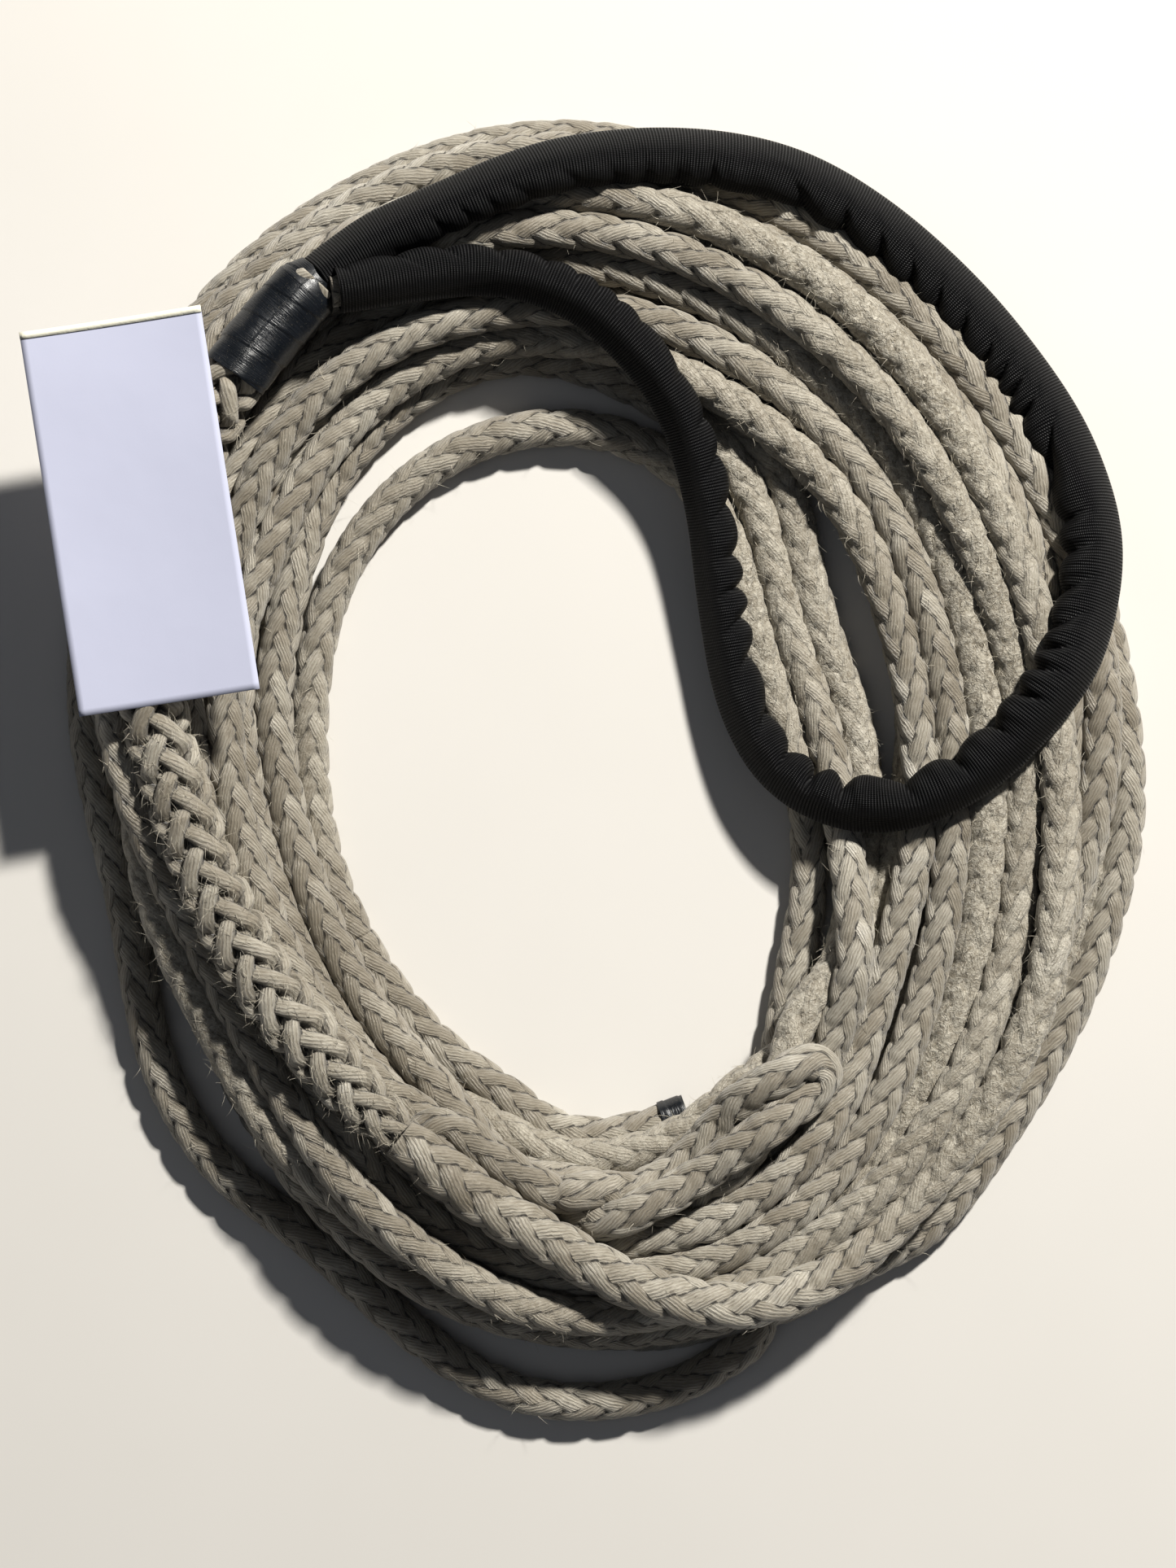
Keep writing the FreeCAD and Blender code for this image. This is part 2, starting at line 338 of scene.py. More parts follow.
def drift(count, step, wavelength, seed):
    """Slow random wander between about -1 and 1 along a line."""
    chance = np.random.default_rng(seed)
    knots = max(int(count * step / wavelength), 1) + 3
    values = chance.uniform(-1, 1, knots)
    at = np.arange(count) * step / wavelength
    low = at.astype(int)
    part = at - low
    smooth = part * part * (3 - 2 * part)
    return values[low] * (1 - smooth) + values[low + 1] * smooth


# ---- rope surfaces ----------------------------------------------------------------------

class Braid:
    """A twelve-strand braid's surface. Six strands run each way, over two and under two, so
    that floats of one hand stand in three columns and those of the other hand between them."""

    def __init__(self, sides, rings, repeat, radius, core, lift, puff, half_width, roundness):
        self.sides, self.rings, self.repeat, self.radius = sides, rings, repeat, radius
        self.core, self.lift, self.puff = core, lift, puff
        self.half_width, self.roundness = half_width, roundness
        self.slope = math.atan(2 * math.pi * radius / (6 * repeat))

    def tile(self):
        """Distance of the surface from the middle of the rope, over one repeat."""
        turn = np.arange(self.sides) * 360.0 / self.sides
        u = np.arange(self.rings)[:, None] * 2.0 / self.rings
        surface = np.full((self.rings, self.sides), self.core)
        for hand, offset, crest in ((1, 0.0, 30.0), (-1, 30.0, 90.0)):
            for strand in range(6):
                centre = hand * 30.0 * u + 60.0 * strand + offset
                aside = (turn[None, :] - centre + 180.0) % 360.0 - 180.0
                across = self.radius * np.radians(aside) * math.cos(self.slope) / self.half_width
                crown = np.cos(np.radians(3 * (centre - crest)))
                crown = np.sin(np.pi / 2 * np.clip(1.4 * crown, -1, 1)) + 0 * across
                bulge = np.sqrt(np.clip(1 - np.abs(across) ** self.roundness, 0, 1))
                height = self.core + self.lift * crown + self.puff * bulge
                surface = np.where(np.abs(across) < 1, np.maximum(surface, height), surface)
        return surface


def new_mesh(name, verts, faces, material):
    """Object with smooth faces, in the scene."""
    mesh = bpy.data.meshes.new(name)
    mesh.vertices.add(len(verts))
    mesh.vertices.foreach_set("co", np.asarray(verts, np.float32).ravel())
    faces = [np.asarray(f, np.int32) for f in faces if len(f)]
    loops = np.concatenate([f.ravel() for f in faces])
    sizes = np.concatenate([np.full(len(f), f.shape[1], np.int32) for f in faces])
    mesh.loops.add(len(loops))
    mesh.loops.foreach_set("vertex_index", loops)
    mesh.polygons.add(len(sizes))
    starts = np.concatenate([[0], np.cumsum(sizes)[:-1]]).astype(np.int32)
    mesh.polygons.foreach_set("loop_start", starts)
    mesh.polygons.foreach_set("use_smooth", np.ones(len(sizes), bool))
    mesh.update(calc_edges=True)
    mesh.validate()
    mesh.materials.append(material)
    piece = bpy.data.objects.new(name, mesh)
    bpy.context.collection.objects.link(piece)
    return piece


def keep_vectors(piece, name, values):
    """Stores one vector for each vertex, for the materials to read."""
    piece.data.attributes.new(name, "FLOAT_VECTOR", "POINT")
    piece.data.attributes[name].data.foreach_set("vector", np.asarray(values, np.float32).ravel())


def tube_faces(rings, sides):
    """Quads of a tube."""
    ring = np.arange(rings - 1)[:, None] * sides
    side = np.arange(sides)[None, :]
    nxt = (side + 1) % sides
    quads = np.stack([ring + side, ring + nxt, ring + sides + nxt, ring + sides + side], -1)
    return quads.reshape(-1, 4)


def walled_tube_faces(rings, sides):
    """Faces of an open tube with a wall: its outside, its inside and the rims at both ends."""
    total = rings * sides
    outer = tube_faces(rings, sides)
    side = np.arange(sides)
    nxt = (side + 1) % sides
    first = np.stack([nxt, side, side + total, nxt + total], 1)
    last = np.stack([side, nxt, nxt + total, side + total], 1) + (rings - 1) * sides
    return np.vstack([outer, outer[:, ::-1] + total, first, last])


def caps(rings, sides, first, last):
    """Triangles that close a tube's ends onto two centre points."""
    side = np.arange(sides)
    nxt = (side + 1) % sides
    start = np.stack([nxt, side, np.full(sides, first)], 1)
    end = np.stack([side, nxt, np.full(sides, last)], 1) + np.array([1, 1, 0]) * (rings - 1) * sides
    return np.vstack([start, end])


def strips(piece, rings, sides, strip_rings):
    """A map of the tube in side-by-side strips, for the quads of tube_faces and the caps."""
    layer = piece.data.uv_layers.new(name="OFBake")
    count = math.ceil((rings - 1) / strip_rings)
    ring = np.arange(rings - 1)[:, None] + np.zeros(sides, int)
    side = np.zeros((rings - 1, 1), int) + np.arange(sides)
    strip = ring // strip_rings
    gap = 0.04
    left = (strip + gap + (1 - 2 * gap) * side / sides) / count
    right = (strip + gap + (1 - 2 * gap) * (side + 1) / sides) / count
    low = 0.004 + 0.99 * (ring - strip * strip_rings) / strip_rings
    high = 0.004 + 0.99 * (ring - strip * strip_rings + 1) / strip_rings
    corners = np.stack([left, low, right, low, right, high, left, high], -1).reshape(-1, 2)
    uv = np.zeros((len(piece.data.loops), 2))
    uv[:len(corners)] = corners
    uv[len(corners):] = 0.0005
    layer.data.foreach_set("uv", uv.astype(np.float32).ravel())


def laid_rope(name, line, braid, first, last, scale, twist, felted, material, strip_rings):
    """Braided rope along a stretch of a line, from its first to its last ring."""
    centre, (_, normal, side_way) = line[0][first:last], [way[first:last] for way in line[1]]
    rings, sides = len(centre), braid.sides
    number = np.arange(first, last)
    reach = braid.tile()[number % braid.rings] * scale[first:last, None]
    angle = np.arange(sides) * 2 * math.pi / sides
    turn = twist[first:last, None] + angle[None, :]
    offset = (np.cos(turn) * reach)[..., None] * normal[:, None, :]
    offset = offset + (np.sin(turn) * reach)[..., None] * side_way[:, None, :]
    offset = offset * np.array([LIE_WIDE, LIE_WIDE, LIE_LOW])
    verts = (centre[:, None, :] + offset).reshape(-1, 3)
    verts[:, 2] = np.maximum(verts[:, 2], 0.0)
    total = rings * sides
    faces = [tube_faces(rings, sides), caps(rings, sides, total, total + 1)]
    piece = new_mesh(name, np.vstack([verts, centre[0], centre[-1]]), faces, material)
    place = np.zeros((total + 2, 3))
    u = number[:, None] * 2.0 / braid.rings
    place[:total] = np.stack(np.broadcast_arrays(np.cos(angle), np.sin(angle), u), -1).reshape(-1, 3)
    place[total:] = (0.1, 0.1, u[-1, 0])
    keep_vectors(piece, "braid", place)
    nap = np.zeros(total + 2)
    nap[:total] = np.repeat(felted[first:last], sides)
    piece.data.attributes.new("felt", "FLOAT", "POINT")
    piece.data.attributes["felt"].data.foreach_set("value", nap.astype(np.float32))
    strips(piece, rings, sides, strip_rings)
    piece.data["sides"] = sides
    return piece


# ---- materials --------------------------------------------------------------------------

def linear(r, g, b):
    """Screen colour, 0 to 255, as a linear colour."""
    return tuple(((c / 255 + 0.055) / 1.055) ** 2.4 if c > 10 else c / 255 / 12.92
                 for c in (r, g, b)) + (1.0,)


class Nodes:
    """Short way to write a material's nodes."""

    def __init__(self, name):
        self.material = bpy.data.materials.new(name)
        self.material.use_nodes = True
        self.tree = self.material.node_tree
        self.shader = self.tree.nodes["Principled BSDF"]

    def add(self, kind, settings=None, **inputs):
        node = self.tree.nodes.new("ShaderNode" + kind)
        for key, value in (settings or {}).items():
            setattr(node, key, value)
        for key, value in inputs.items():
            self.plug(node.inputs[key.replace("_", " ")], value)
        return node

    def plug(self, socket, value):
        if isinstance(value, bpy.types.NodeSocket):
            self.tree.links.new(value, socket)
        else:
            socket.default_value = value

    def math(self, operation, a, b=0.0, c=0.0):
        node = self.tree.nodes.new("ShaderNodeMath")
        node.operation = operation
        for socket, value in zip(node.inputs, (a, b, c)):
            self.plug(socket, value)
        return node.outputs[0]

    def attribute(self, name, output="Fac"):
        node = self.tree.nodes.new("ShaderNodeAttribute")
        node.attribute_name = name
        return node.outputs[output]

    def split(self, vector):
        node = self.tree.nodes.new("ShaderNodeSeparateXYZ")
        self.plug(node.inputs[0], vector)
        return node.outputs

    def join(self, x, y, z):
        node = self.tree.nodes.new("ShaderNodeCombineXYZ")
        for socket, value in zip(node.inputs, (x, y, z)):
            self.plug(socket, value)
        return node.outputs[0]

    def noise(self, vector, scale, detail=3.0, roughness=0.55):
        node = self.add("TexNoise", Vector=vector, Scale=scale, Detail=detail, Roughness=roughness)
        return node.outputs["Fac"]

    def distort(self, vector, scale, amount):
        """A place moved about at random, so that a noise there looks like matted fibre."""
        node = self.add("TexNoise", Vector=vector, Scale=scale, Detail=2.0)
        shift = self.tree.nodes.new("ShaderNodeVectorMath")
        shift.operation = "MULTIPLY_ADD"
        self.plug(shift.inputs[0], node.outputs["Color"])
        self.plug(shift.inputs[1], (amount, amount, amount))
        self.plug(shift.inputs[2], vector)
        return shift.outputs[0]

    def where(self):
        return self.tree.nodes.new("ShaderNodeTexCoord").outputs["Object"]

    def ramp(self, value, stops):
        node = self.tree.nodes.new("ShaderNodeValToRGB")
        self.plug(node.inputs[0], value)
        band = node.color_ramp
        while len(band.elements) < len(stops):
            band.elements.new(0.5)
        for element, (position, colour) in zip(band.elements, stops):
            element.position = position
            element.color = colour
        return node.outputs[0]

    def mix(self, share, a, b, blend="MIX"):
        node = self.tree.nodes.new("ShaderNodeMix")
        node.data_type = "RGBA"
        node.blend_type = blend
        self.plug(node.inputs[0], share)
        self.plug(node.inputs[6], a)
        self.plug(node.inputs[7], b)
        return node.outputs[2]

    def blend(self, share, a, b):
        node = self.tree.nodes.new("ShaderNodeMix")
        for socket, value in zip((node.inputs[0], node.inputs[2], node.inputs[3]), (share, a, b)):
            self.plug(socket, value)
        return node.outputs[0]

    def bump(self, height, strength, distance, under=None):
        node = self.add("Bump", Height=height, Strength=strength, Distance=distance)
        if under is not None:
            self.plug(node.inputs["Normal"], under)
        return node.outputs[0]

    def finish(self, **inputs):
        for key, value in inputs.items():
            self.plug(self.shader.inputs[key.replace("_", " ")], value)
        return self.material


def strands_of(n, braid, hand, offset, crest):
    """Nodes that find the nearest strand of one hand: its height here, where this is across and
    along its float, and a number for each float."""
    cosine, sine, u = n.split(n.attribute("braid", "Vector"))
    step = math.pi / 3
    turn = n.math("ARCTAN2", sine, cosine)
    lead = n.math("MULTIPLY_ADD", u, -hand * step / 2, n.math("ADD", turn, -math.radians(offset)))
    order = n.math("DIVIDE", lead, step)
    strand = n.math("ROUND", order)
    aside = n.math("MULTIPLY", n.math("SUBTRACT", order, strand), step)
    from_crest = n.math("SUBTRACT", n.math("SUBTRACT", turn, aside), math.radians(crest))
    wrapped = n.math("SUBTRACT", from_crest, n.math("MULTIPLY", n.math("ROUND", n.math(
        "DIVIDE", from_crest, 2 * step)), 2 * step))
    crown = n.math("SINE", n.math("MULTIPLY", n.math("MINIMUM", n.math("MAXIMUM", n.math(
        "MULTIPLY", n.math("COSINE", n.math("MULTIPLY", wrapped, 3.0)), 1.4), -1.0), 1.0), math.pi / 2))
    wide = braid.radius * math.cos(braid.slope) / braid.half_width
    across = n.math("MULTIPLY", aside, wide)
    hollow = n.math("POWER", n.math("MINIMUM", n.math("ABSOLUTE", across), 1.0), braid.roundness)
    bulge = n.math("SQRT", n.math("SUBTRACT", 1.0, hollow))
    height = n.math("MULTIPLY_ADD", crown, braid.lift, n.math("MULTIPLY", bulge, braid.puff))
    along = n.math("MULTIPLY_ADD", wrapped, hand * braid.repeat * math.cos(braid.slope) / step,
                   n.math("MULTIPLY", aside, hand * braid.radius * math.sin(braid.slope)))
    number = n.math("ROUND", n.math("MULTIPLY_ADD", wrapped, -hand * 2 / step, u))
    strand = n.math("MODULO", n.math("ADD", strand, 60000.0), 6.0)
    return height, across, along, n.join(strand, number, 3.0 * hand)


def rope_material(name, braid, yarn_width, lay):
    """Weathered silver-beige fibre: fine yarns along each strand, darker between yarns from fibre tone
    and painted shade, and painted shade in the grooves between strands.
    """
    n = Nodes(name)
    right = strands_of(n, braid, 1, 0.0, 30.0)
    left = strands_of(n, braid, -1, 30.0, 90.0)
    wins = n.math("GREATER_THAN", right[0], left[0])
    across = n.blend(wins, left[1], right[1])
    along = n.blend(wins, left[2], right[2])
    chance = n.tree.nodes.new("ShaderNodeTexWhiteNoise")
    n.plug(chance.inputs["Vector"], n.mix(wins, left[3], right[3]))
    tint = chance.outputs["Value"]
    margin = n.math("ABSOLUTE", n.math("SUBTRACT", right[0], left[0]))
    side_margin = n.math("SUBTRACT", 1.0, n.math("ABSOLUTE", across))
    seam = n.math("MINIMUM", n.math("DIVIDE", margin, 0.34 * (braid.lift + braid.puff)),
                  n.math("MULTIPLY", side_margin, 3.2))
    seam = n.math("MINIMUM", seam, 1.0)
    seam = n.math("MULTIPLY", seam, n.math("SUBTRACT", 2.0, seam))
    felt = n.attribute("felt")
    place = n.where()
    curved = n.math("MULTIPLY", n.math("ARCSINE", n.math("MULTIPLY", across, 0.98)), braid.half_width)
    wander = n.noise(place, 160.0, 2.0)
    yarn = n.math("MULTIPLY_ADD", along, lay, n.math("MULTIPLY_ADD", wander, 0.0018, curved))
    wave = n.math("SINE", n.math("MULTIPLY", yarn, 2 * math.pi / yarn_width))
    wave = n.math("MULTIPLY_ADD", wave, 0.5, 0.5)
    fibre_place = n.join(n.math("MULTIPLY", yarn, 3200.0), n.math("MULTIPLY", along, 200.0),
                         n.math("MULTIPLY", tint, 9.0))
    fibre = n.noise(fibre_place, 1.0, 4.0, 0.65)
    patches = n.noise(place, 9.0, 4.0, 0.6)
    blotches = n.noise(place, 75.0, 3.0, 0.6)
    tone = n.math("MULTIPLY_ADD", patches, 0.5, n.math("MULTIPLY_ADD", tint, 0.16, 0.06))
    tone = n.math("MULTIPLY_ADD", blotches, 0.32, tone)
    colour = n.ramp(tone, [(0.28, linear(100, 92, 77)), (0.50, linear(140, 132, 117)),
                           (0.68, linear(178, 172, 158)), (0.88, linear(218, 214, 204))])
    # the dark streaks between yarns are fibre tone and painted shade: the colour darkens where the yarn
    # relief is low
    thread = n.math("MULTIPLY_ADD", wave, 0.22, n.math("MULTIPLY", fibre, 1.05))
    streak = n.ramp(thread, [(0.42, (1, 1, 1, 1)), (0.70, (0, 0, 0, 1))])
    colour = n.mix(n.math("MULTIPLY", streak, 0.72), colour, linear(100, 90, 73))
    # painted shade: the grooves between strands are darkened towards dark brown, less where the rope is
    # felted
    groove_shade = n.math("MULTIPLY", n.math("SUBTRACT", 1.0, seam), n.math("MULTIPLY_ADD", felt, -0.50, 0.97))
    colour = n.mix(groove_shade, colour, linear(36, 30, 23))
    nap = n.noise(n.distort(place, 210.0, 0.0065), 380.0, 4.0, 0.7)
    felted = n.mix(n.ramp(nap, [(0.38, (0, 0, 0, 1)), (0.62, (1, 1, 1, 1))]), linear(118, 109, 92),
                   linear(190, 184, 169))
    colour = n.mix(n.math("MULTIPLY", felt, 0.7), colour, felted)
    sharp = n.math("SUBTRACT", 1.0, n.math("MULTIPLY", felt, 0.85))
    relief = n.math("MULTIPLY", n.math("MULTIPLY_ADD", wave, 0.45, n.math("MULTIPLY", fibre, 1.1)), sharp)
    bump = n.bump(seam, n.math("MULTIPLY_ADD", felt, -0.5, 0.9), 0.0011)
    bump = n.bump(relief, 1.0, 0.0007, bump)
    bump = n.bump(nap, n.math("MULTIPLY_ADD", felt, 0.85, 0.12), 0.0022, bump)
    rough = n.math("MULTIPLY_ADD", fibre, 0.25, 0.29)
    return n.finish(Base_Color=colour, Roughness=rough, Normal=bump, Sheen_Weight=0.2,
                    Sheen_Roughness=0.5, Specular_IOR_Level=0.55)


def webbing_material():
    """Black tubular webbing: cross ribs of glossy threads with painted highlights on their crowns, and
    paler ribs at the folded edges from wear and painted highlight.
    """
    n = Nodes("black_webbing")
    around, along, edge = n.split(n.attribute("cloth", "Vector"))
    rib = n.math("ABSOLUTE", n.math("SINE", n.math("MULTIPLY", along, math.pi / 1.7)))
    thread = n.math("ABSOLUTE", n.math("SINE", n.math("MULTIPLY", around, math.pi / 1.3)))
    weave = n.math("MULTIPLY", n.math("POWER", rib, 0.7), n.math("MULTIPLY_ADD", thread, 0.5, 0.5))
    place = n.where()
    dust = n.noise(place, 70.0, 4.0, 0.65)
    # painted highlight: the crowns of the ribs and threads are painted lighter grey on the near-black
    # webbing
    colour = n.ramp(weave, [(0.55, linear(1, 1, 2)), (0.88, linear(4, 4, 5)), (1.0, linear(40, 40, 43))])
    # paler ribs at the folded edges: wear and painted highlight on the thread crowns
    edge_wear_and_highlight = n.math("MULTIPLY", edge, n.math("POWER", weave, 2.0))
    colour = n.mix(n.math("MULTIPLY", edge_wear_and_highlight, 0.75), colour, linear(112, 111, 108))
    dusty = n.ramp(dust, [(0.60, (0, 0, 0, 1)), (0.90, (0.15, 0.15, 0.15, 1))])
    colour = n.mix(dusty, colour, linear(48, 46, 42))
    bump = n.bump(weave, 0.9, 0.0007)
    bump = n.bump(dust, 0.3, 0.0015, bump)
    rough = n.math("MULTIPLY_ADD", n.math("POWER", weave, 2.0), -0.40, 0.72)
    return n.finish(Base_Color=colour, Roughness=rough, Normal=bump, Specular_IOR_Level=0.16)


def tape_material():
    """Black vinyl tape, glossy, with fine stretch wrinkles and finger marks."""
    n = Nodes("black_tape")
    around, along, layer = n.split(n.attribute("cloth", "Vector"))
    place = n.where()
    creases = n.noise(n.join(n.math("MULTIPLY", around, 0.06), n.math("MULTIPLY", along, 0.9), layer),
                      1.3, 4.0, 0.6)
    smears = n.noise(place, 90.0, 3.0, 0.6)
    specks = n.noise(place, 1400.0, 2.0, 0.5)
    colour = n.mix(smears, linear(5, 7, 10), linear(17, 22, 29))
    colour = n.mix(n.ramp(specks, [(0.66, (0, 0, 0, 1)), (0.74, (0.5, 0.5, 0.5, 1))]), colour,
                   linear(120, 114, 100))
    bump = n.bump(creases, 0.6, 0.0007)
    rough = n.math("MULTIPLY_ADD", smears, 0.3, 0.18)
    return n.finish(Base_Color=colour, Roughness=rough, Normal=bump, Specular_IOR_Level=0.5)


def paper_material():
    """White office paper with a faint cool cast, fibres and soft handling marks."""
    n = Nodes("white_paper")
    place = n.where()
    fibres = n.noise(place, 900.0, 5.0, 0.7)
    clouds = n.noise(place, 14.0, 3.0, 0.5)
    colour = n.mix(clouds, linear(176, 179, 199), linear(187, 190, 210))
    colour = n.mix(n.math("MULTIPLY", fibres, 0.12), colour, linear(163, 166, 187))
    bump = n.bump(fibres, 0.12, 0.0002)
    bump = n.bump(clouds, 0.3, 0.002, bump)
    return n.finish(Base_Color=colour, Roughness=n.math("MULTIPLY_ADD", fibres, 0.1, 0.75), Normal=bump)


def gum_material():
    """The pale gum along the card's upper edge."""
    n = Nodes("pad_gum")
    place = n.where()
    lumps = n.noise(place, 500.0, 4.0, 0.65)
    colour = n.mix(lumps, linear(226, 222, 196), linear(243, 241, 226))
    return n.finish(Base_Color=colour, Roughness=n.math("MULTIPLY_ADD", lumps, 0.3, 0.35),
                    Normal=n.bump(lumps, 0.5, 0.0005))


# ---- the pieces -------------------------------------------------------------------------

def make_wound_rope(settled, mark, control, splice_mark):
    """The rope from its loose end to inside the splice, as a tail piece and the hank."""
    braid = Braid(BRAID_SIDES, BRAID_RINGS, BRAID_REPEAT, 0.0090, 0.0072, 0.0013, 0.0020, 0.0052, 2.2)
    look = rope_material("weathered_rope", braid, 0.0015, 0.10)
    inside = control & (mark <= splice_mark + 0.5)
    step = BRAID_REPEAT / BRAID_RINGS
    centre = even(spline_points("rope_course", settled[inside], 6), step)
    count = len(centre)
    left = (count - 1 - np.arange(count)) * step
    scale = np.interp(left, [0.0, 0.03, 0.20, 0.36], [1.1, 1.33, 1.22, 1.0])
    scale = scale * (1 + 0.025 * drift(count, step, 0.11, 5))
    twist = 1.4 * drift(count, step, 0.9, 3) + 0.5 * drift(count, step, 0.25, 4)
    felt = drift(count, step, 0.55, 12) + 0.5 * drift(count, step, 0.15, 13)
    worn_side = np.clip((centre[:, 0] - 0.02) / 0.10, 0, 1) * np.clip((centre[:, 1] + 0.28) / 0.08, 0, 1)
    felt = np.clip((felt - 0.45 + 0.50 * worn_side) * 1.6, 0, 1)
    away = (centre[:800] - np.array(TAIL_HINGE)) @ np.array(TAIL_REACH)
    cut = int(np.nonzero(away < -0.045)[0][0])
    line = centre, frames(centre)
    tail = laid_rope("rope_tail", line, braid, 0, cut + 1, scale, twist, felt, look, 700)
    coil = laid_rope("rope_coil", line, braid, cut, count, scale, twist, felt, look, 700)
    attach(coil, "coil")
    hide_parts("coil_turns", "inner_turn", "outer_turn", "splice_taper")
    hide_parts("tail_rope")
    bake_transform(tail)
    return centre, cut, tail, coil, step


def make_fuzz(hosts, tape_line, amount, look, seed):
    """Broken fibres that stand off the worn rope: short curved hairs, more where it is felted."""
    chance = np.random.default_rng(seed)
    roots, outs, ways = [], [], []
    for host, share in hosts:
        mesh = host.data
        count = len(mesh.vertices)
        points, normals, felt = np.empty(3 * count), np.empty(3 * count), np.empty(count)
        mesh.vertices.foreach_get("co", points)
        mesh.vertices.foreach_get("normal", normals)
        mesh.attributes["felt"].data.foreach_get("value", felt)
        points, normals = points.reshape(-1, 3), normals.reshape(-1, 3)
        likely = (0.10 + felt) * (normals[:, 2] > -0.2) * (points[:, 2] > 0.012)
        likely = likely * ~covered(points, tape_line)
        pick = chance.choice(count, int(amount * share), p=likely / likely.sum())
        roots.append(points[pick])
        outs.append(normals[pick])
        ways.append(np.roll(points, -mesh["sides"], 0)[pick] - points[pick])
    root, out, way = (np.concatenate(x) for x in (roots, outs, ways))
    way /= np.linalg.norm(way, axis=1)[:, None] + 1e-9
    count = len(root)
    lean = chance.normal(0, 1, (count, 3))
    heading = 0.55 * out + way * chance.choice([-1, 1], count)[:, None] + 0.45 * lean
    heading /= np.linalg.norm(heading, axis=1)[:, None]
    bend = 0.7 * np.cross(heading, chance.normal(0, 1, (count, 3)))
    length = chance.uniform(0.004, 0.0095, count)[:, None]
    aside = np.cross(heading, out + 0.01)
    aside /= np.linalg.norm(aside, axis=1)[:, None] + 1e-9
    verts = []
    for t in (0.0, 0.35, 0.7, 1.0):
        middle = root - 0.0004 * out + length * (t * heading + 0.5 * t * t * bend)
        thick = 0.00016 * (1 - 0.75 * t)
        for k in range(3):
            spin = 2 * math.pi * k / 3
            verts.append(middle + thick * (math.cos(spin) * aside + math.sin(spin) * out))
    verts = np.stack(verts, 1)
    verts[..., 2] = np.maximum(verts[..., 2], 0.0003)
    base = np.arange(count)[:, None] * 12
    quads = [base + np.array([[3 * r + k, 3 * r + (k + 1) % 3, 3 * r + 3 + (k + 1) % 3, 3 * r + 3 + k]])
             for r in range(3) for k in range(3)]
    faces = [np.concatenate(quads), np.concatenate([base + (2, 1, 0), base + (9, 10, 11)])]
    piece = new_mesh("loose_fibres", verts.reshape(-1, 3), faces, look)
    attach(piece, "coil")
    return piece


def fibre_material():
    """Pale bleached fibre."""
    n = Nodes("loose_fibre")
    tone = n.noise(n.where(), 130.0, 2.0, 0.5)
    colour = n.mix(tone, linear(150, 140, 120), linear(226, 220, 204))
    return n.finish(Base_Color=colour, Roughness=n.math("MULTIPLY_ADD", tone, 0.2, 0.45),
                    Specular_IOR_Level=0.4)


def make_splice(settled, mark, control, splice_mark, eye_mark):
    """The long tucked splice: thick round strands standing proud, in the same braid."""
    braid = Braid(SPLICE_SIDES, SPLICE_RINGS, SPLICE_REPEAT, 0.0155, 0.0104, 0.0030, 0.0050, 0.0054, 2.0)
    look = rope_material("tucked_strands", braid, 0.0020, 0.22)
    inside = control & (mark >= splice_mark) & (mark <= eye_mark - 0.75)
    step = SPLICE_REPEAT / SPLICE_RINGS
    centre = even(spline_points("splice_course", settled[inside], 12), step)
    count = len(centre)
    run = np.arange(count) * step
    scale = np.interp(run, [0.0, 0.02, 0.07, run[-1] - 0.09, run[-1] - 0.07, run[-1]],
                      [0.62, 0.80, 0.95, 1.0, 0.92, 0.90])
    scale = scale * (1 + 0.02 * drift(count, step, 0.06, 7))
    twist = math.radians(-60) + 0.12 * drift(count, step, 0.3, 8)
    felt = 0.12 + 0 * run
    line = centre, frames(centre)
    piece = laid_rope("rope_splice", line, braid, 0, count, scale, twist, felt, look, 330)
    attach(piece, "coil")
    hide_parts("eye_splice")
    return centre, step, piece


def make_eye_rope(settled, mark, control, eye_mark):
    """The rope inside the sleeve, from the splice round the eye and back to it."""
    braid = Braid(BRAID_SIDES, BRAID_RINGS, BRAID_REPEAT, 0.0090, 0.0072, 0.0009, 0.0019, 0.0053, 2.4)
    look = rope_material("sleeved_rope", braid, 0.0015, 0.10)
    inside = control & (mark >= eye_mark - 1.25)
    step = BRAID_REPEAT / BRAID_RINGS
    centre = even(spline_points("eye_course", settled[inside], 6), step)
    count = len(centre)
    flat = np.zeros(count)
    share = np.linspace(0, 1, count)
    squeezed = np.interp(share, [0, 0.01, 0.04, 0.96, 0.99, 1], [0.92, 0.90, 0.76, 0.76, 0.90, 0.92])
    line = centre, frames(centre)
    piece = laid_rope("rope_in_sleeve", line, braid, 0, count, squeezed, flat, flat, look, 400)
    return centre, piece


